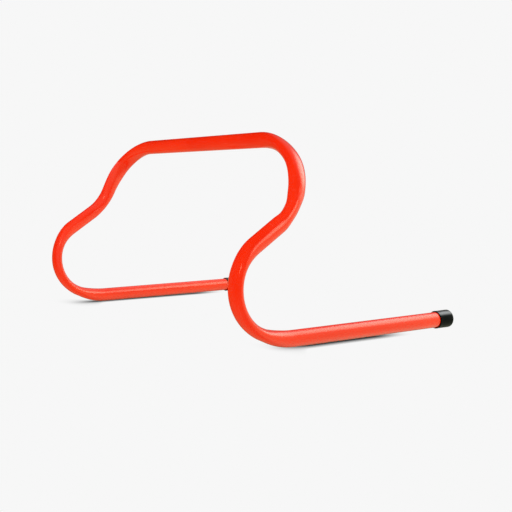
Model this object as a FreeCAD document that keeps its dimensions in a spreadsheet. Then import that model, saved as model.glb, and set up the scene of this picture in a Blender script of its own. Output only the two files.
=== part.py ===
import FreeCAD, Part
import os
import Sketcher
from FreeCAD import Placement, Rotation, Vector

# A low training hurdle: one length of round plastic tube, bent into a crossbar,
# two sloping shoulders, two back bends and two feet, with a push-on cap on each foot.
# Each shoulder starts with an easy bend, the brow, and then tightens.
# X runs along the crossbar, the feet point along +Y, Z is up and the floor is Z = 0.

doc = FreeCAD.newDocument("speed_hurdle")

# Driving sizes, in millimetres and degrees.
SIZES = [
    ("height", 315.5, "top of the crossbar above the floor"),
    ("tube_diameter", 25.0, "outside of the tube where it is straight and round"),
    ("tube_wall", 2.0, "wall of the tube"),
    ("bar_length", 358.0, "straight part of the crossbar"),
    ("brow_radius", 156.0, "centreline radius of the easy bend at each end of the crossbar"),
    ("brow_turn", 36.5, "how far that bend turns"),
    ("shoulder_radius", 93.0, "centreline radius of the tighter bend that follows it"),
    ("shoulder_turn", 41.0, "how far that bend turns"),
    ("shoulder_lean", 19.0, "how far the plane of both bends leans back from upright"),
    ("knee_radius", 86.0, "centreline radius of the bend that swings the leg backwards"),
    ("slant_length", 50.0, "straight between the knee and the back bend"),
    ("slant_angle", 33.5, "slope of that straight below level"),
    ("back_turn", 124.0, "how far the round bend behind the hurdle turns"),
    ("heel_radius", 142.0, "centreline radius of the easy bend that leads onto the floor"),
    ("foot_length", 317.0, "straight of the foot, from the heel to the end of the tube"),
    ("shoulder_flat", 0.8, "thickness left in the flattened shoulder, as a share of the diameter"),
    ("knee_flat", 0.83, "the same for the knee"),
    ("back_flat", 0.66, "the same for the back bend and the start of the heel"),
    ("cap_depth", 28.0, "length of tube inside a cap"),
    ("cap_wall", 1.8, "wall of the cap's sleeve"),
    ("cap_end", 2.5, "thickness of the cap's closed end"),
    ("cap_round", 4.0, "rounding of the cap's closed end"),
    ("cap_lip", 0.6, "rounding of the cap's mouth"),
    ("cap_clearance", 0.05, "gap all round between the tube and the sleeve"),
]
sizes = doc.addObject("Spreadsheet::Sheet", "sizes")
for row, (alias, number, meaning) in enumerate(SIZES, 1):
    sizes.set(f"A{row}", alias)
    sizes.set(f"B{row}", str(number))
    sizes.set(f"C{row}", meaning)
    sizes.setAlias(f"B{row}", alias)
doc.recompute()

# Angles that follow from the driving sizes. The foot rises by the thickness of the cap's
# sleeve, so that the heel and the mouth of the cap both stand on the floor.
FOOT_RISE = "asin((sizes.cap_wall + sizes.cap_clearance) / (sizes.foot_length - sizes.cap_depth))"
UPPER_TURN = "(sizes.brow_turn + sizes.shoulder_turn)"
KNEE_TURN = f"acos(sin({UPPER_TURN}) * sin(sizes.shoulder_lean + sizes.slant_angle))"
HEEL_TURN = f"(180 - sizes.slant_angle - sizes.back_turn) * 1 deg + {FOOT_RISE}"

# How far each length of the centreline drops. The back bend takes up the height that
# the others leave, so its radius follows from the height.
BROW_DROP = "sizes.brow_radius * (1 - cos(sizes.brow_turn)) * cos(sizes.shoulder_lean)"
SHOULDER_DROP = (f"sizes.shoulder_radius * (cos(sizes.brow_turn) - cos({UPPER_TURN}))"
                 " * cos(sizes.shoulder_lean)")
KNEE_DROP = (f"sizes.knee_radius * tan({KNEE_TURN} / 2)"
             f" * (sin({UPPER_TURN}) * cos(sizes.shoulder_lean) + sin(sizes.slant_angle))")
SLANT_DROP = "sizes.slant_length * sin(sizes.slant_angle)"
HEEL_DROP = "sizes.heel_radius * (1 + cos(sizes.slant_angle + sizes.back_turn))"
BACK_DROP = (f"(sizes.height - sizes.tube_diameter - {BROW_DROP} - {SHOULDER_DROP}"
             f" - {KNEE_DROP} - {SLANT_DROP} - {HEEL_DROP})")
BACK_RADIUS = f"{BACK_DROP} / (cos(sizes.slant_angle) - cos(sizes.slant_angle + sizes.back_turn))"

# Share of a bend's flattening at evenly spaced stations along it. A bend is round
# where it meets a straight or a bend in another plane.
ROUND_TO_OVAL = (0, 0.3, 0.75, 0.95, 1)
OVAL_TO_ROUND = (1, 1, 0.85, 0.3, 0)
ROUND_TO_ROUND = (0, 0.3, 0.8, 1, 1, 1, 0.8, 0.3, 0)
ROUND_TO_HEEL = (0, 0.3, 0.8, 1, 1, 1, 1, 0.95, 0.8)
HEEL_TO_ROUND = (0.8, 0.5, 0.2, 0.05, 0)

# How far a bore runs past the end of the tube, so that it opens the end cleanly.
BORE_OVERRUN = "5"

# Lengths closer than this are the same length.
SAME_LENGTH = 1e-6

RIGHT = Vector(1, 0, 0)
FORWARD = Vector(0, 1, 0)
UP = Vector(0, 0, 1)


def size(alias):
    return float(getattr(sizes, alias))


def turned(vector, axis, degrees):
    return Rotation(axis, degrees).multVec(vector)


class Bend:
    """One bend of the centreline, set out from where the piece before it ends."""

    def __init__(self, name, start, heading, axis, radius, turn, flat, shares):
        self.name = name
        self.flat = flat
        self.shares = shares
        self.arc = doc.addObject("Part::Circle", f"{name}_path")
        self.arc.setExpression("Radius", radius)
        self.arc.setExpression("Angle2", turn)
        doc.recompute()
        self.radius = self.arc.Radius.Value
        self.turn = self.arc.Angle2.Value
        # In the bend's own frame its arc lies in XY about the origin and starts on X.
        outward = heading.cross(axis)
        centre = start - outward * self.radius
        self.frame = Placement(centre, Rotation(outward, heading, axis, "XYZ"))
        self.arc.Placement = self.frame
        self.end = centre + turned(start - centre, axis, self.turn)
        self.end_heading = turned(heading, axis, self.turn)

    def outline(self, label, station, inset):
        """The tube's outline at one station, in two halves, smaller by inset all round."""
        share = self.shares[station]
        left = f"(1 - {share} * (1 - {self.flat}))"
        swing = Rotation(UP, self.turn * station / (len(self.shares) - 1))
        facing = Rotation(UP, RIGHT, FORWARD, "ZXY")
        seat = Placement(swing.multVec(RIGHT * self.radius), swing.multiply(facing))
        halves = []
        for side, begin in (("a", 0), ("b", 180)):
            if share:
                half = doc.addObject("Part::Ellipse", f"{label}{side}")
                # Flattening widens the tube across the bend, so that its girth stays the same.
                half.setExpression("MajorRadius", f"sizes.tube_diameter / 2 * sqrt(2 - {left} ^ 2) - {inset}")
                half.setExpression("MinorRadius", f"sizes.tube_diameter / 2 * {left} - {inset}")
            else:
                half = doc.addObject("Part::Circle", f"{label}{side}")
                half.setExpression("Radius", f"sizes.tube_diameter / 2 - {inset}")
            half.Angle1 = begin
            half.Angle2 = begin + 180
            half.Placement = self.frame.multiply(seat)
            halves.append(half)
        ring = doc.addObject("Part::Compound", label)
        ring.Links = halves
        return ring

    def rod(self, kind, inset):
        label = f"{self.name}_{kind}"
        sweep = doc.addObject("Part::Sweep", label)
        stations = range(len(self.shares))
        sweep.Sections = [self.outline(f"{label}_{station}", station, inset) for station in stations]
        sweep.Spine = (self.arc, ["Edge1"])
        sweep.Solid = True
        return sweep


def straight(label, start, heading, length, inset):
    rod = doc.addObject("Part::Cylinder", label)
    rod.setExpression("Radius", f"sizes.tube_diameter / 2 - {inset}")
    rod.setExpression("Height", length)
    rod.Placement = Placement(start, Rotation(UP, heading))
    return rod


def fused(label, pieces):
    union = doc.addObject("Part::MultiFuse", label)
    union.Shapes = pieces
    return union


def mirrored(label, source):
    copy = doc.addObject("Part::Mirroring", label)
    copy.Source = source
    copy.Normal = RIGHT
    return copy


# Centreline of the right half, from the end of the crossbar to the end of the foot.
# The middle of the crossbar is at zero until the whole hurdle is set on the floor.
bar_end = RIGHT * (size("bar_length") / 2)
leaning_down = turned(-UP, RIGHT, -size("shoulder_lean"))
upper_axis = RIGHT.cross(leaning_down)
brow = Bend("brow", bar_end, RIGHT, upper_axis,
            "sizes.brow_radius", "sizes.brow_turn", "sizes.shoulder_flat", ROUND_TO_OVAL)
shoulder = Bend("shoulder", brow.end, brow.end_heading, upper_axis,
                "sizes.shoulder_radius", "sizes.shoulder_turn", "sizes.shoulder_flat", OVAL_TO_ROUND)
slant_heading = turned(-FORWARD, RIGHT, size("slant_angle"))
knee_axis = shoulder.end_heading.cross(slant_heading).normalize()
knee = Bend("knee", shoulder.end, shoulder.end_heading, knee_axis,
            "sizes.knee_radius", KNEE_TURN, "sizes.knee_flat", ROUND_TO_ROUND)
slant_end = knee.end + slant_heading * size("slant_length")
back = Bend("back", slant_end, slant_heading, RIGHT,
            BACK_RADIUS, "sizes.back_turn", "sizes.back_flat", ROUND_TO_HEEL)
heel = Bend("heel", back.end, back.end_heading, RIGHT,
            "sizes.heel_radius", HEEL_TURN, "sizes.back_flat", HEEL_TO_ROUND)
foot_heading = heel.end_heading
cap_mouth = heel.end + foot_heading * (size("foot_length") - size("cap_depth"))


def bent_rod(kind, inset, overrun):
    """The whole bent length as a solid rod, thinner than the tube by inset all round."""
    leg = [bend.rod(kind, inset) for bend in (brow, shoulder, knee, back, heel)]
    leg.append(straight(f"slant_{kind}", knee.end, slant_heading, "sizes.slant_length", inset))
    leg.append(straight(f"foot_{kind}", heel.end, foot_heading, f"sizes.foot_length + {overrun}", inset))
    right_leg = fused(f"right_leg_{kind}", leg)
    left_leg = mirrored(f"left_leg_{kind}", right_leg)
    bar = straight(f"bar_{kind}", -bar_end, RIGHT, "sizes.bar_length", inset)
    return fused(f"whole_{kind}", [bar, right_leg, left_leg])


tube = doc.addObject("Part::Cut", "tube")
tube.Base = bent_rod("outside", "0", "0")
tube.Tool = bent_rod("bore", "sizes.tube_wall", BORE_OVERRUN)


def disc_sketch(body, name, radius):
    """A round sketch in the plane of a cap's mouth."""
    sketch = body.newObject("Sketcher::SketchObject", name)
    plane = next(feature for feature in body.Origin.OriginFeatures if feature.Role == "XY_Plane")
    sketch.AttachmentSupport = [(plane, "")]
    sketch.MapMode = "FlatFace"
    circle = sketch.addGeometry(Part.Circle(Vector(), UP, size("tube_diameter") / 2))
    sketch.addConstraint(Sketcher.Constraint("Coincident", circle, 3, -1, 1))
    radial = sketch.addConstraint(Sketcher.Constraint("Radius", circle, size("tube_diameter") / 2))
    sketch.setExpression(f"Constraints[{radial}]", radius)
    return sketch


def rounded(body, name, base, outer_radius, height, radius):
    """A rounding of the circular edge of one radius at one height."""
    doc.recompute()
    fillet = body.newObject("PartDesign::Fillet", name)
    edges = [f"Edge{index}" for index, edge in enumerate(base.Shape.Edges, 1)
             if isinstance(edge.Curve, Part.Circle)
             and abs(edge.Curve.Radius - outer_radius) < SAME_LENGTH
             and abs(edge.Curve.Center.z - height) < SAME_LENGTH]
    fillet.Base = (base, edges)
    fillet.setExpression("Radius", radius)
    return fillet


def cap(label):
    """A push-on cap standing on its mouth, closed at the top."""
    body = doc.addObject("PartDesign::Body", label)
    bore_radius = "sizes.tube_diameter / 2 + sizes.cap_clearance"
    blank = body.newObject("PartDesign::Pad", f"{label}_blank")
    blank.Profile = disc_sketch(body, f"{label}_blank_sketch", f"{bore_radius} + sizes.cap_wall")
    blank.setExpression("Length", "sizes.cap_depth + sizes.cap_end")
    bore = body.newObject("PartDesign::Pocket", f"{label}_bore")
    bore.Profile = disc_sketch(body, f"{label}_bore_sketch", bore_radius)
    bore.Reversed = True
    bore.setExpression("Length", "sizes.cap_depth")
    outer = size("tube_diameter") / 2 + size("cap_clearance") + size("cap_wall")
    top = size("cap_depth") + size("cap_end")
    crown = rounded(body, f"{label}_crown", bore, outer, top, "sizes.cap_round")
    rounded(body, f"{label}_lip", crown, outer, 0, "sizes.cap_lip")
    return body


def across(point):
    """The matching point of the left half."""
    return Vector(-point.x, point.y, point.z)


on_foot = Rotation(UP, foot_heading)
cap_right = cap("cap_right")
cap_left = cap("cap_left")
cap_right.Placement = Placement(cap_mouth, on_foot)
cap_left.Placement = Placement(across(cap_mouth), on_foot)
doc.recompute()

# Set the hurdle on the floor, centred over the origin.
pieces = [tube, cap_right, cap_left]
boxes = [piece.Shape.optimalBoundingBox(False, False) for piece in pieces]
rear = min(box.YMin for box in boxes)
front = max(box.YMax for box in boxes)
lowest = min(box.ZMin for box in boxes)
to_floor = Vector(0, -(rear + front) / 2, -lowest)
for piece in pieces:
    piece.Placement = Placement(to_floor + piece.Placement.Base, piece.Placement.Rotation)
doc.recompute()

for feature in doc.Objects:
    if "Invalid" in feature.State or "Error" in feature.State:
        raise RuntimeError(f"{feature.Label} failed")
for piece in pieces:
    if piece.Shape.isNull() or not piece.Shape.isValid() or len(piece.Shape.Solids) != 1:
        raise RuntimeError(f"{piece.Label} is not one sound solid")

os.makedirs("parts", exist_ok=True)
for piece in pieces:
    piece.Shape.exportStep(f"parts/{piece.Label}.step")
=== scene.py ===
import math

import bpy
import numpy as np
from mathutils import Matrix, Vector


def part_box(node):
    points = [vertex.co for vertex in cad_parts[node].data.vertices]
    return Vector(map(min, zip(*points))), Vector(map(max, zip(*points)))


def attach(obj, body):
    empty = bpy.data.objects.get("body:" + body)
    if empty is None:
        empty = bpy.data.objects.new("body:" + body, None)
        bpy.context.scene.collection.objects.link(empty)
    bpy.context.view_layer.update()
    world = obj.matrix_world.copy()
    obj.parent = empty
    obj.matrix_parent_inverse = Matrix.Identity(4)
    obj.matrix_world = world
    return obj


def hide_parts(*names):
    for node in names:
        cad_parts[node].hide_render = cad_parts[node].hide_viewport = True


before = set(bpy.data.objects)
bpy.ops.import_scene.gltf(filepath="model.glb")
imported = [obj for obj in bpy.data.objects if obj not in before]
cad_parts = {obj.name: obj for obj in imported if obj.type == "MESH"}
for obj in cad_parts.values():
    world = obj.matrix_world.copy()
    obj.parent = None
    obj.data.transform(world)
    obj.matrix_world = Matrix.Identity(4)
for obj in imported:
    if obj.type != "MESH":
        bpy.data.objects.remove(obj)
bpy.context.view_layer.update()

# Sizes of the hurdle, in metres and degrees. They are the part's own driving sizes.
HEIGHT = 0.3155
TUBE_RADIUS = 0.0125
TUBE_WALL = 0.002
BAR_LENGTH = 0.358
BROW_RADIUS, BROW_TURN = 0.156, 36.5
SHOULDER_RADIUS, SHOULDER_TURN, SHOULDER_LEAN = 0.093, 41.0, 19.0
KNEE_RADIUS = 0.086
SLANT_LENGTH, SLANT_ANGLE = 0.050, 33.5
BACK_TURN = 124.0
HEEL_RADIUS = 0.142
FOOT_LENGTH = 0.317
SHOULDER_FLAT, KNEE_FLAT, BACK_FLAT = 0.80, 0.83, 0.66
CAP_DEPTH, CAP_WALL, CAP_END, CAP_ROUND, CAP_LIP = 0.028, 0.0018, 0.0025, 0.004, 0.0006
CAP_CLEARANCE = 0.00005

# Sizes that follow from those.
CAP_BORE = TUBE_RADIUS + CAP_CLEARANCE
CAP_OUTER = CAP_BORE + CAP_WALL
CAP_LENGTH = CAP_DEPTH + CAP_END

# Share of a bend's flattening at evenly spaced places along it.
ROUND_TO_OVAL = (0, 0.3, 0.75, 0.95, 1)
OVAL_TO_ROUND = (1, 1, 0.85, 0.3, 0)
ROUND_TO_ROUND = (0, 0.3, 0.8, 1, 1, 1, 0.8, 0.3, 0)
ROUND_TO_HEEL = (0, 0.3, 0.8, 1, 1, 1, 1, 0.95, 0.8)
HEEL_TO_ROUND = (0.8, 0.5, 0.2, 0.05, 0)

# A shallow dish in a cap's end, with a pip in its middle: its depth, then distances from the axis.
DISH_DEPTH = 0.0002
PIP_RADIUS, PIP_FOOT_RADIUS, DISH_FLOOR_RADIUS, DISH_RADIUS = 0.0012, 0.0014, 0.004, 0.0075

# A slight waist behind a cap's lip: distances from the mouth, and how far in the outside is there.
CAP_WAIST = ((0.016, 0.00005), (0.009, 0.0001), (0.0042, 0.00012), (0.0032, 0.0))

# A bevel inside a cap's mouth, and rings along its bore at distances from the mouth.
BEVEL_LENGTH, BEVEL_HEIGHT = 0.0003, 0.0002
BORE_RINGS = (0.008, 0.016)

# How far wear reaches from a cap's mouth and from the crown of its rounding, and how far inside the
# rounding's corner that crown lies, as a share of its radius.
MOUTH_WEAR, CROWN_WEAR = 0.0016, 0.003
CROWN_INSET = 0.3

# Fineness of the meshes.
TUBE_SIDES, CAP_SIDES = 60, 72
BEND_STEP, STRAIGHT_STEP = 0.003, 0.012
CROWN_STEPS, LIP_STEPS = 9, 6
SHARP_ANGLE = 50.0

# What both materials share: their index of refraction, the depth of their relief, the heights between
# which scuffs from the floor fade out, and the range that most of a noise lies in.
PLASTIC_IOR = 1.5
RELIEF_DEPTH = 0.00012
SCUFF_HEIGHTS = (0.0004, 0.0030)
NOISE_RANGE = (0.3, 0.7)

# A cap is dull below and polished above: heights, and the levels at them.
CAP_ROUGHNESS_HEIGHTS, CAP_ROUGHNESS = (0.0180, 0.0240), (0.28, 0.11)
CAP_GLOSS_HEIGHTS, CAP_GLOSS = (0.0216, 0.0260), (0.035, 0.60)

# Half of the floor's side, its white, and the levels of the white backdrop and the white dome. The
# slope says how much the dome's level rises towards +X, +Y and +Z.
FLOOR_REACH = 40.0
PAPER_WHITE = (0.885, 0.885, 0.885, 1)
WHITE = (1, 1, 1, 1)
BACKDROP = 0.93
DOME = 1.13
DOME_SLOPE = (-0.035, -0.085, 0.0)

# Parts of the room that show in gloss: azimuth and elevation, angles of full and of no light, colour.
GLOSS_LOBES = (
    ((62, -16), (25, 70), (1.15, 1.22, 0.90)),
    ((85, 40), (10, 60), (0.5, 0.5, 0.5)),
    ((145, -5), (6, 30), (0.45, 0.40, 0.34)),
    ((185, -40), (25, 65), (0.17, 0.16, 0.06)),
    ((286, 28), (2, 9), (3.4, 3.4, 2.6)),
    ((320, -80), (25, 85), (0.38, 0.38, 0.26)),
)

# Soft boxes that show in gloss: name, place, the point it faces, width, height and level.
SOFT_BOXES = (
    ("key", (0.465, 0.707, 0.770), (0.31, 0.0, 0.12), 1.55, 1.3, 3.9),
    ("side", (0.539, -0.040, 0.273), (0.31, -0.12, 0.18), 0.215, 0.275, 3.9),
    ("far foot", (-0.344, 0.100, 0.129), (-0.314, 0.100, 0.0125), 0.60, 0.28, 0.8),
    ("far leg", (-0.240, -0.300, 0.140), (-0.360, -0.160, 0.095), 0.66, 0.56, 0.62),
    ("far slant", (-0.298, -0.112, 0.274), (-0.310, -0.080, 0.180), 0.28, 0.28, 0.62),
)

# The middle of a soft box's face, and the distances from it where the light ends and where it is full,
# all as shares of its width and height.
SOFT_BOX_MIDDLE = (0.5, 0.5, 0.0)
SOFT_BOX_FADE = (0.5, 0.1)

# The hurdle's shadow on the floor: how far it reaches at the heels and at the feet, and how fast it
# deepens. Each stretch has the direction that it is measured along, where it begins and ends, and its
# levels there: one reach to the other, no shadow to all of it, and all of it to none.
HEEL_REACH, FOOT_REACH, SHADOW_DEPTH = 0.060, 0.0155, 1.5
SHADOW_SAMPLES = 16
SHADOW_STRETCHES = (
    ((-0.030, 1.0, 0.0), (-0.154, -0.104), (HEEL_REACH, FOOT_REACH)),
    ((-0.071, 1.0, 0.0), (-0.178, -0.100), (0.0, BACKDROP)),
    ((0.088, 1.0, 0.0), (0.076, 0.150), (1.0, 0.0)),
)

# The camera: its place, its azimuth and elevation seen from the hurdle, and its lens in millimetres.
CAMERA_PLACE = (1.33729, -0.88385, 0.23616)
CAMERA_AZIMUTH, CAMERA_ELEVATION = -34.8487, 4.6436
FOCAL_LENGTH, SENSOR_WIDTH = 63.2547, 36.0
FARTHEST_SEEN = 200.0

RIGHT = np.array([1.0, 0.0, 0.0])
FORWARD = np.array([0.0, 1.0, 0.0])
UP = np.array([0.0, 0.0, 1.0])
MIRROR = np.array([-1.0, 1.0, 1.0])
NODE_STEP = Vector((-40.0, -200.0))


def turned(vector, axis, degrees):
    """Vector turned about a unit axis."""
    angle = math.radians(degrees)
    along = axis * np.dot(axis, vector)
    return along + (vector - along) * math.cos(angle) + np.cross(axis, vector) * math.sin(angle)


def pointing(azimuth, elevation):
    """Unit vector at an azimuth, which goes from +X towards +Y, and an elevation."""
    azimuth, elevation = math.radians(azimuth), math.radians(elevation)
    level = math.cos(elevation)
    return Vector((level * math.cos(azimuth), level * math.sin(azimuth), math.sin(elevation)))


def eased(table, place):
    """A smooth curve through evenly spaced values, read at a place from 0 to 1."""
    values = np.array(table, float)
    slopes = np.gradient(values)
    slopes[0] = slopes[-1] = 0.0
    spot = min(max(place, 0.0), 1.0) * (len(values) - 1)
    before = min(int(spot), len(values) - 2)
    t = spot - before
    return ((2 * t**3 - 3 * t**2 + 1) * values[before] + (t**3 - 2 * t**2 + t) * slopes[before]
            + (3 * t**2 - 2 * t**3) * values[before + 1] + (t**3 - t**2) * slopes[before + 1])


class Centreline:
    """Stations along half of the tube, from the middle of the crossbar to the end of one foot."""

    def __init__(self):
        self.point = UP * (HEIGHT - TUBE_RADIUS)
        self.heading = RIGHT
        self.reference = UP
        self.run = 0.0
        self.stations = []

    def mark(self, inward, axis, kept):
        """A station, with the share of the tube's diameter that is kept across the bend."""
        station = (self.point, self.heading, self.reference, inward, axis, kept, self.run)
        self.stations.append(station)

    def straight(self, length):
        """A straight run."""
        steps = math.ceil(length / STRAIGHT_STEP)
        side = np.cross(self.heading, self.reference)
        for _ in range(steps):
            self.mark(self.reference, side, 1.0)
            self.point = self.point + self.heading * (length / steps)
            self.run += length / steps

    def bend(self, axis, radius, turn, flat, shares):
        """An arc about an axis, with the share of the diameter that is kept where it is flattest."""
        length = math.radians(turn) * radius
        steps = math.ceil(length / BEND_STEP)
        for step in range(steps):
            inward = np.cross(axis, self.heading)
            self.mark(inward, axis, 1 - eased(shares, step / steps) * (1 - flat))
            centre = self.point + inward * radius
            self.point = centre + turned(self.point - centre, axis, turn / steps)
            self.heading = turned(self.heading, axis, turn / steps)
            self.reference = turned(self.reference, axis, turn / steps)
            self.run += length / steps

    def finish(self):
        """The last station, and all of them as columns."""
        self.mark(self.reference, np.cross(self.heading, self.reference), 1.0)
        return [np.array(column) for column in zip(*self.stations)]


def bent_tube_path():
    """Stations of the tube's right half, the place of its cap's mouth, and the foot's heading."""
    path = Centreline()
    path.straight(BAR_LENGTH / 2)
    upper_axis = np.cross(RIGHT, turned(-UP, RIGHT, -SHOULDER_LEAN))
    path.bend(upper_axis, BROW_RADIUS, BROW_TURN, SHOULDER_FLAT, ROUND_TO_OVAL)
    path.bend(upper_axis, SHOULDER_RADIUS, SHOULDER_TURN, SHOULDER_FLAT, OVAL_TO_ROUND)
    slant = turned(-FORWARD, RIGHT, SLANT_ANGLE)
    knee_axis = np.cross(path.heading, slant)
    knee_axis /= np.linalg.norm(knee_axis)
    knee_turn = math.degrees(math.acos(np.dot(path.heading, slant)))
    path.bend(knee_axis, KNEE_RADIUS, knee_turn, KNEE_FLAT, ROUND_TO_ROUND)
    path.straight(SLANT_LENGTH)
    foot_rise = math.degrees(math.asin((CAP_WALL + CAP_CLEARANCE) / (FOOT_LENGTH - CAP_DEPTH)))
    back_end = math.cos(math.radians(SLANT_ANGLE + BACK_TURN))
    heel_drop = HEEL_RADIUS * (back_end + math.cos(math.radians(foot_rise)))
    back_drop = path.point[2] - TUBE_RADIUS - heel_drop
    back_radius = back_drop / (math.cos(math.radians(SLANT_ANGLE)) - back_end)
    path.bend(RIGHT, back_radius, BACK_TURN, BACK_FLAT, ROUND_TO_HEEL)
    heel_turn = 180 - SLANT_ANGLE - BACK_TURN + foot_rise
    path.bend(RIGHT, HEEL_RADIUS, heel_turn, BACK_FLAT, HEEL_TO_ROUND)
    mouth = path.point + path.heading * (FOOT_LENGTH - CAP_DEPTH)
    path.straight(FOOT_LENGTH)
    return path.finish(), mouth, path.heading


def new_object(name, points, faces):
    """A smooth-shaded mesh object that keeps its sharp edges."""
    mesh = bpy.data.meshes.new(name)
    mesh.from_pydata([tuple(point) for point in points], [], faces)
    mesh.validate()
    piece = bpy.data.objects.new(name, mesh)
    bpy.context.scene.collection.objects.link(piece)
    mesh.shade_smooth()
    mesh.set_sharp_from_angle(angle=math.radians(SHARP_ANGLE))
    return piece


def paint(piece, name, kind, values):
    """A value for each point of a piece, for its material to read."""
    layer = piece.data.attributes.new(name, kind, "POINT")
    key = "vector" if kind == "FLOAT_VECTOR" else "value"
    layer.data.foreach_set(key, np.array(values, np.float32).ravel())


def ring_angles(sides):
    """Angles of the points around one ring."""
    return np.linspace(0, 2 * math.pi, sides, endpoint=False)


def skin(rows, columns, start, outward):
    """Quads over a grid of points that closes on itself around each row."""
    faces = []
    for row in range(rows - 1):
        for column in range(columns):
            beside = (column + 1) % columns
            here, above = start + row * columns, start + (row + 1) * columns
            quad = (here + column, here + beside, above + beside, above + column)
            faces.append(quad if outward else quad[::-1])
    return faces


def both_halves(right, left):
    """Values along the whole tube, from those of its halves, which begin at the same middle."""
    return np.concatenate([left[:0:-1], right])


def tube_layers(stations):
    """Rings of points along the whole tube, on its outside and in its bore."""
    points, headings, references, inwards, axes, kept, _ = stations
    sides = np.cross(headings, references)
    around = ring_angles(TUBE_SIDES)
    cosine, sine = np.cos(around)[None, :, None], np.sin(around)[None, :, None]
    spokes = cosine * references[:, None] + sine * sides[:, None]
    in_part = np.sum(spokes * inwards[:, None], axis=2)[..., None] * inwards[:, None]
    across_part = np.sum(spokes * axes[:, None], axis=2)[..., None] * axes[:, None]
    thin = kept[:, None, None]
    wide = np.sqrt(2 - thin**2)
    layers = []
    for inset in (0.0, TUBE_WALL):
        half = (points[:, None] + in_part * (TUBE_RADIUS * thin - inset)
                + across_part * (TUBE_RADIUS * wide - inset))
        layers.append(both_halves(half, half * MIRROR))
    return layers


def tube_end_faces(rows):
    """Quads between the outside and the bore at both ends of the tube."""
    count = rows * TUBE_SIDES
    faces = []
    for start, first in ((0, True), (count - TUBE_SIDES, False)):
        for column in range(TUBE_SIDES):
            here = start + column
            beside = start + (column + 1) % TUBE_SIDES
            quad = (here, count + here, count + beside, beside)
            faces.append(quad if first else quad[::-1])
    return faces


def build_tube(stations):
    """The whole tube. Its material reads places on the unrolled tube, and how far it is squeezed."""
    outside, bore = tube_layers(stations)
    rows = len(outside)
    faces = skin(rows, TUBE_SIDES, 0, True) + skin(rows, TUBE_SIDES, rows * TUBE_SIDES, False)
    points = np.concatenate([outside.reshape(-1, 3), bore.reshape(-1, 3)])
    piece = new_object("tube_red", points, faces + tube_end_faces(rows))
    *_, kept, run = stations
    around = ring_angles(TUBE_SIDES)
    unrolled = np.empty((rows, TUBE_SIDES, 3))
    unrolled[..., 0] = TUBE_RADIUS * np.cos(around)
    unrolled[..., 1] = TUBE_RADIUS * np.sin(around)
    unrolled[..., 2] = both_halves(run, -run)[:, None]
    paint(piece, "unrolled", "FLOAT_VECTOR", [unrolled, unrolled])
    squeeze = np.repeat(1 - both_halves(kept, kept), TUBE_SIDES)
    paint(piece, "squeeze", "FLOAT", [squeeze, squeeze])
    return piece


def quarter(centre_along, centre_out, radius, begin, end, steps):
    """Points of a rounding in a cap's profile."""
    angles = np.radians(np.linspace(begin, end, steps))
    return [(centre_along + radius * math.sin(angle), centre_out + radius * math.cos(angle))
            for angle in angles]


def cap_profile():
    """Points of a cap, as (distance from the mouth, distance from the axis), from the middle of its end,
    along its outside and round its mouth, to the middle of its end's inside."""
    dish_floor = CAP_LENGTH - DISH_DEPTH
    profile = [(CAP_LENGTH, 0.0), (CAP_LENGTH, PIP_RADIUS), (dish_floor, PIP_FOOT_RADIUS)]
    profile += [(dish_floor, DISH_FLOOR_RADIUS), (CAP_LENGTH, DISH_RADIUS)]
    profile += quarter(CAP_LENGTH - CAP_ROUND, CAP_OUTER - CAP_ROUND, CAP_ROUND, 90, 0, CROWN_STEPS)
    profile += [(along, CAP_OUTER - inset) for along, inset in CAP_WAIST]
    profile += quarter(CAP_LIP, CAP_OUTER - CAP_LIP, CAP_LIP, 0, -90, LIP_STEPS)
    profile += [(0.0, CAP_BORE + BEVEL_HEIGHT), (BEVEL_LENGTH, CAP_BORE)]
    profile += [(along, CAP_BORE) for along in BORE_RINGS]
    return profile + [(CAP_DEPTH, CAP_BORE), (CAP_DEPTH, 0.0)]


def rim_wear(along, out):
    """Wear at a point of a cap's profile, from 0 to 1: most at its mouth and round its end."""
    crown_along = CAP_LENGTH - CROWN_INSET * CAP_ROUND
    crown_out = CAP_OUTER - CROWN_INSET * CAP_ROUND
    at_mouth = 1 - abs(along - CAP_LIP) / MOUTH_WEAR
    at_crown = 1 - math.hypot(along - crown_along, out - crown_out) / CROWN_WEAR
    return max(0.0, at_mouth, at_crown)


def build_cap(name, mouth, heading):
    """A push-on cap turned from its profile. Its material reads the wear at its rims."""
    end_middle, *rings, inside_middle = cap_profile()
    side = np.cross(heading, UP)
    side /= np.linalg.norm(side)
    top = np.cross(side, heading)
    around = ring_angles(CAP_SIDES)
    spokes = np.cos(around)[:, None] * top + np.sin(around)[:, None] * side
    points = [mouth + heading * along + spoke * out for along, out in rings for spoke in spokes]
    faces = skin(len(rings), CAP_SIDES, 0, True)
    last = (len(rings) - 1) * CAP_SIDES
    for (along, _), start, outward in ((end_middle, 0, True), (inside_middle, last, False)):
        middle = len(points)
        points.append(mouth + heading * along)
        for column in range(CAP_SIDES):
            triangle = (middle, start + column, start + (column + 1) % CAP_SIDES)
            faces.append(triangle[::-1] if outward else triangle)
    piece = new_object(name, points, faces)
    wear = np.repeat([rim_wear(along, out) for along, out in rings], CAP_SIDES)
    paint(piece, "rim", "FLOAT", [*wear, 0.0, 0.0])
    return piece


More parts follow.
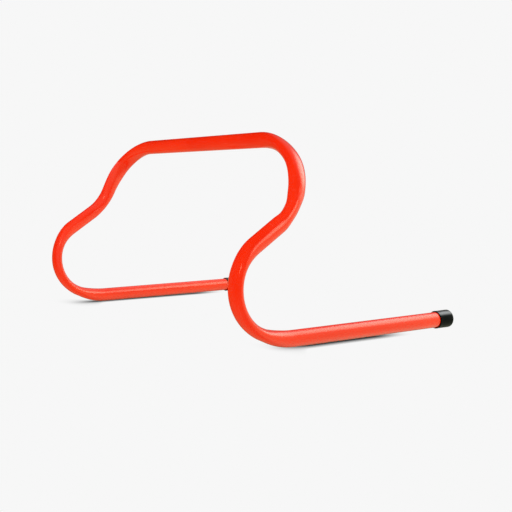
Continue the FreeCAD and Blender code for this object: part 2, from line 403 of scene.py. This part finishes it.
class Painter:
    """Shorthand for making a node tree. A value is a constant or another node's output."""

    def __init__(self, tree):
        self.tree = tree

    def fill(self, made, inputs):
        """Values for a node's inputs, by their names or places."""
        for key, value in inputs.items():
            if isinstance(value, bpy.types.NodeSocket):
                self.tree.links.new(value, made.inputs[key])
            else:
                made.inputs[key].default_value = value

    def add(self, kind, inputs=None, **settings):
        """A new node."""
        made = self.tree.nodes.new(kind)
        made.location = NODE_STEP * len(self.tree.nodes)
        for key, value in settings.items():
            setattr(made, key, value)
        self.fill(made, inputs or {})
        return made

    def attribute(self, name, output):
        return self.add("ShaderNodeAttribute", attribute_name=name).outputs[output]

    def place(self):
        """Place on the object, in the hurdle's own frame."""
        return self.add("ShaderNodeTexCoord").outputs["Object"]

    def height(self):
        """Height above the floor at rest."""
        return self.add("ShaderNodeSeparateXYZ", {"Vector": self.place()}).outputs["Z"]

    def math(self, operation, first, second):
        return self.add("ShaderNodeMath", {0: first, 1: second}, operation=operation).outputs[0]

    def times(self, first, second):
        return self.math("MULTIPLY", first, second)

    def total(self, start, weighted):
        """A value, plus others that each have a weight."""
        for value, weight in weighted:
            start = self.math("ADD", start, self.times(value, weight))
        return start

    def vector_math(self, operation, first, second, output="Vector"):
        made = self.add("ShaderNodeVectorMath", {0: first, 1: second}, operation=operation)
        return made.outputs[output]

    def noise(self, vector, scale, detail=2.0, roughness=0.5):
        """Noise from 0 to 1, with its own scale along each direction of the vector."""
        stretched = self.vector_math("MULTIPLY", vector, scale)
        inputs = {"Vector": stretched, "Scale": 1.0, "Detail": detail, "Roughness": roughness}
        return self.add("ShaderNodeTexNoise", inputs).outputs["Fac"]

    def ramp(self, value, low, high, to_low=0.0, to_high=1.0):
        """A smooth step from one level to another, as a value goes from low to high."""
        ends = {"From Min": low, "From Max": high, "To Min": to_low, "To Max": to_high}
        made = self.add("ShaderNodeMapRange", {"Value": value, **ends}, interpolation_type="SMOOTHSTEP")
        return made.outputs["Result"]

    def mix(self, share, first, second):
        """Colour from first to second as share goes from 0 to 1."""
        # The node has sockets for every kind of data: inputs 6 and 7 and output 2 are its colours.
        inputs = {0: share, 6: first, 7: second}
        made = self.add("ShaderNodeMix", inputs, data_type="RGBA", clamp_factor=True)
        return made.outputs[2]

    def marked(self, colour, marks):
        """A colour with marks over it: where they are, how strong they are, and their colour."""
        for where, strength, tint in marks:
            colour = self.mix(self.times(where, strength), colour, tint)
        return colour

    def bump(self, height):
        inputs = {"Height": height, "Distance": RELIEF_DEPTH, "Strength": 1.0}
        return self.add("ShaderNodeBump", inputs).outputs["Normal"]

    def background(self, colour, strength):
        return self.add("ShaderNodeBackground", {"Color": colour, "Strength": strength}).outputs[0]

    def chosen(self, share, first, second):
        """The first shader where share is 0, and the second where it is 1."""
        return self.add("ShaderNodeMixShader", {0: share, 1: first, 2: second}).outputs[0]

    def looked_at(self):
        """1 for what the camera sees, directly or through something clear."""
        rays = self.add("ShaderNodeLightPath").outputs
        return self.math("MAXIMUM", rays["Is Camera Ray"], rays["Is Transmission Ray"])


def new_material(name):
    """A material, the painter of its node tree, and its surface shader."""
    material = bpy.data.materials.new(name)
    material.use_nodes = True
    tree = material.node_tree
    return material, Painter(tree), tree.nodes["Principled BSDF"]


def red_plastic():
    """Extruded, bent tube: die lines and hairline scratches along it, rub marks across it, a faint
    stress blush at the bends and scuffs where it stands."""
    material, red, surface = new_material("red_tube")
    along = red.attribute("unrolled", "Vector")
    squeeze = red.attribute("squeeze", "Fac")
    clouds = red.noise(along, (22, 22, 9), 3)
    streaks = red.noise(along, (520, 520, 2.2), 3, 0.6)
    peel = red.noise(along, (190, 190, 120))
    grain = red.noise(along, (1500, 1500, 900))
    die_lines = red.ramp(streaks, 0.35, 0.75)
    blush = red.times(squeeze, red.ramp(clouds, *NOISE_RANGE, 0.6, 1.3))
    hairs = red.ramp(red.noise(along, (1100, 1100, 24)), 0.655, 0.70)
    handled = red.ramp(red.noise(along, (38, 38, 26)), 0.48, 0.62)
    rubs = red.times(handled, red.ramp(red.noise(along, (60, 60, 1400)), 0.62, 0.69))
    near_floor = red.ramp(red.height(), *SCUFF_HEIGHTS, 1.0, 0.0)
    ground = red.ramp(red.noise(along, (420, 420, 130), 4, 0.7), 0.45, 0.65)
    scuffs = red.times(near_floor, ground)
    deep, light = (0.89, 0.0180, 0.0007, 1), (0.96, 0.0260, 0.0013, 1)
    colour = red.marked(red.mix(red.ramp(clouds, *NOISE_RANGE), deep, light), (
        (die_lines, 0.35, (0.85, 0.0150, 0.0007, 1)),
        (blush, 0.08, (0.96, 0.036, 0.003, 1)),
        (hairs, 0.16, (0.95, 0.13, 0.08, 1)),
        (rubs, 0.12, (0.95, 0.15, 0.10, 1)),
        (scuffs, 0.5, (0.60, 0.10, 0.07, 1)),
    ))
    roughness = red.total(red.ramp(clouds, *NOISE_RANGE, 0.105, 0.145), (
        (die_lines, 0.025), (squeeze, 0.03), (hairs, 0.12), (rubs, 0.12), (scuffs, 0.3)))
    relief = red.total(red.times(peel, 0.055), (
        (streaks, 0.035), (grain, 0.006), (hairs, -0.02), (rubs, -0.015), (scuffs, -0.12)))
    red.fill(surface, {"Base Color": colour, "Roughness": roughness, "Normal": red.bump(relief),
                       "Specular Tint": (1.0, 1.0, 0.72, 1), "IOR": PLASTIC_IOR})
    return material


def black_vinyl():
    """Dip-moulded soft vinyl: polished on top by handling, dull below, worn grey at its rims and on the
    floor."""
    material, black, surface = new_material("black_cap")
    place = black.place()
    height = black.height()
    rim = black.attribute("rim", "Fac")
    clouds = black.noise(place, (130, 130, 130), 3)
    grain = black.noise(place, (1300, 1300, 1300), 3, 0.6)
    dimples = black.noise(place, (420, 420, 420))
    worn = black.times(rim, black.ramp(black.noise(place, (600, 600, 600), 4, 0.7), 0.42, 0.68))
    near_floor = black.ramp(height, *SCUFF_HEIGHTS, 1.0, 0.0)
    ground = black.ramp(black.noise(place, (700, 260, 700), 4, 0.7), 0.42, 0.64)
    scuffs = black.times(near_floor, ground)
    deep, light = (0.0016, 0.0018, 0.0018, 1), (0.0040, 0.0044, 0.0042, 1)
    colour = black.marked(black.mix(black.ramp(clouds, *NOISE_RANGE), deep, light), (
        (worn, 0.5, (0.016, 0.017, 0.016, 1)),
        (scuffs, 0.6, (0.040, 0.038, 0.036, 1)),
    ))
    polish = black.ramp(height, *CAP_ROUGHNESS_HEIGHTS, *CAP_ROUGHNESS)
    patches = black.ramp(clouds, *NOISE_RANGE)
    roughness = black.total(polish, ((patches, 0.05), (worn, 0.10), (scuffs, 0.25)))
    relief = black.total(black.times(grain, 0.015), ((dimples, 0.06), (worn, -0.04), (scuffs, -0.15)))
    gloss = black.ramp(height, *CAP_GLOSS_HEIGHTS, *CAP_GLOSS)
    black.fill(surface, {"Base Color": colour, "Roughness": roughness, "Normal": black.bump(relief),
                         "Specular IOR Level": gloss, "Specular Tint": (0.91, 0.98, 1.0, 1),
                         "IOR": PLASTIC_IOR})
    return material


def floor_paper():
    """White paper that the camera sees evenly lit, darkened where the hurdle stands on it."""
    material, paper, surface = new_material("floor_paper")
    paper.fill(surface, {"Base Color": PAPER_WHITE, "Roughness": 1.0, "Specular IOR Level": 0.0})
    spot = paper.place()
    stretches = []
    for line, ends, levels in SHADOW_STRETCHES:
        place = paper.vector_math("DOT_PRODUCT", spot, line, "Value")
        stretches.append(paper.ramp(place, *ends, *levels))
    reach, begun, ending = stretches
    contact = paper.add("ShaderNodeAmbientOcclusion", {"Distance": reach}, samples=SHADOW_SAMPLES)
    lost = paper.math("SUBTRACT", 1.0, paper.math("POWER", contact.outputs["AO"], SHADOW_DEPTH))
    darker = paper.times(lost, paper.times(begun, ending))
    level = paper.math("SUBTRACT", BACKDROP, darker)
    glow = paper.add("ShaderNodeEmission", {"Strength": level})
    seen = paper.chosen(paper.looked_at(), surface.outputs[0], glow.outputs[0])
    paper.fill(material.node_tree.nodes["Material Output"], {"Surface": seen})
    return material


def gloss_lobe(room, direction, towards, angles, colour):
    """Light from one part of the room: full within an angle of a direction, none beyond another."""
    facing = room.vector_math("DOT_PRODUCT", direction, pointing(*towards), "Value")
    full, none = (math.cos(math.radians(angle)) for angle in angles)
    inputs = {0: colour, "Scale": room.ramp(facing, none, full)}
    return room.add("ShaderNodeVectorMath", inputs, operation="SCALE").outputs["Vector"]


def soft_box(name, place, aim, width, height, level):
    """A soft box that shows only in gloss and fades towards its rim."""
    lamp = bpy.data.lights.new(name, "AREA")
    lamp.shape = "ELLIPSE"
    lamp.size = width
    lamp.size_y = height
    area = math.pi * width * height / 4
    lamp.energy = level * math.pi * area
    lamp.use_nodes = True
    face = Painter(lamp.node_tree)
    spot = face.add("ShaderNodeNewGeometry").outputs["Parametric"]
    from_middle = face.vector_math("DISTANCE", spot, SOFT_BOX_MIDDLE, "Value")
    face.fill(lamp.node_tree.nodes["Emission"], {"Strength": face.ramp(from_middle, *SOFT_BOX_FADE)})
    holder = bpy.data.objects.new(name, lamp)
    holder.location = place
    holder.rotation_euler = (Vector(place) - Vector(aim)).to_track_quat("Z", "Y").to_euler()
    holder.visible_camera = False
    holder.visible_diffuse = False
    bpy.context.scene.collection.objects.link(holder)


def light_the_room():
    """A white dome, slightly brighter behind the heels, lights the object. A dim room with soft boxes
    shows in its gloss, and the camera sees an even backdrop."""
    world = bpy.data.worlds.new("room")
    bpy.context.scene.world = world
    world.use_nodes = True
    world.cycles.sampling_method = "NONE"
    world.node_tree.nodes.clear()
    room = Painter(world.node_tree)
    direction = room.add("ShaderNodeTexCoord").outputs["Generated"]
    slope = room.vector_math("DOT_PRODUCT", direction, DOME_SLOPE, "Value")
    dome = room.background(WHITE, room.math("ADD", slope, DOME))
    lobes = [gloss_lobe(room, direction, *lobe) for lobe in GLOSS_LOBES]
    studio = lobes[0]
    for lobe in lobes[1:]:
        studio = room.vector_math("ADD", studio, lobe)
    glossy = room.add("ShaderNodeLightPath").outputs["Is Glossy Ray"]
    lit = room.chosen(glossy, dome, room.background(studio, 1.0))
    seen = room.chosen(room.looked_at(), lit, room.background(WHITE, BACKDROP))
    room.add("ShaderNodeOutputWorld", {"Surface": seen})
    for box in SOFT_BOXES:
        soft_box(*box)


def place_camera():
    """The camera, at the photograph's viewing angle."""
    back = pointing(CAMERA_AZIMUTH, CAMERA_ELEVATION)
    right = pointing(CAMERA_AZIMUTH + 90, 0)
    up = back.cross(right)
    lens = bpy.data.cameras.new("camera")
    lens.sensor_width = SENSOR_WIDTH
    lens.lens = FOCAL_LENGTH
    lens.clip_end = FARTHEST_SEEN
    camera = bpy.data.objects.new("camera", lens)
    bpy.context.scene.collection.objects.link(camera)
    facing = Matrix((right, up, back)).transposed().to_4x4()
    camera.matrix_world = Matrix.Translation(CAMERA_PLACE) @ facing
    bpy.context.scene.camera = camera


# The three pieces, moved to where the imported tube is.
stations, mouth, heading = bent_tube_path()
tube = build_tube(stations)
low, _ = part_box("tube")
corners = np.array(tube.bound_box)
shift = np.array([0.0, low.y - corners[:, 1].min(), low.z - corners[:, 2].min()])
tube.data.transform(Matrix.Translation(Vector(shift)))
cap_right = build_cap("cap_right_black", mouth + shift, heading)
cap_left = build_cap("cap_left_black", mouth * MIRROR + shift, heading)

red, black = red_plastic(), black_vinyl()
pieces = (
    (tube, "tube", "red_tube", red),
    (cap_right, "cap_right", "black_cap", black),
    (cap_left, "cap_left", "black_cap", black),
)
for piece, replaced, slot, material in pieces:
    piece.data.materials.append(material)
    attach(piece, "root")
    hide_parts(replaced)

# The floor, the light and the camera.
floor_corners = [(x * FLOOR_REACH, y * FLOOR_REACH, 0) for x, y in ((-1, -1), (1, -1), (1, 1), (-1, 1))]
floor = new_object("floor", floor_corners, [(0, 1, 2, 3)])
floor.data.materials.append(floor_paper())
floor.visible_glossy = False
light_the_room()
place_camera()
bpy.context.scene.view_settings.view_transform = "Standard"
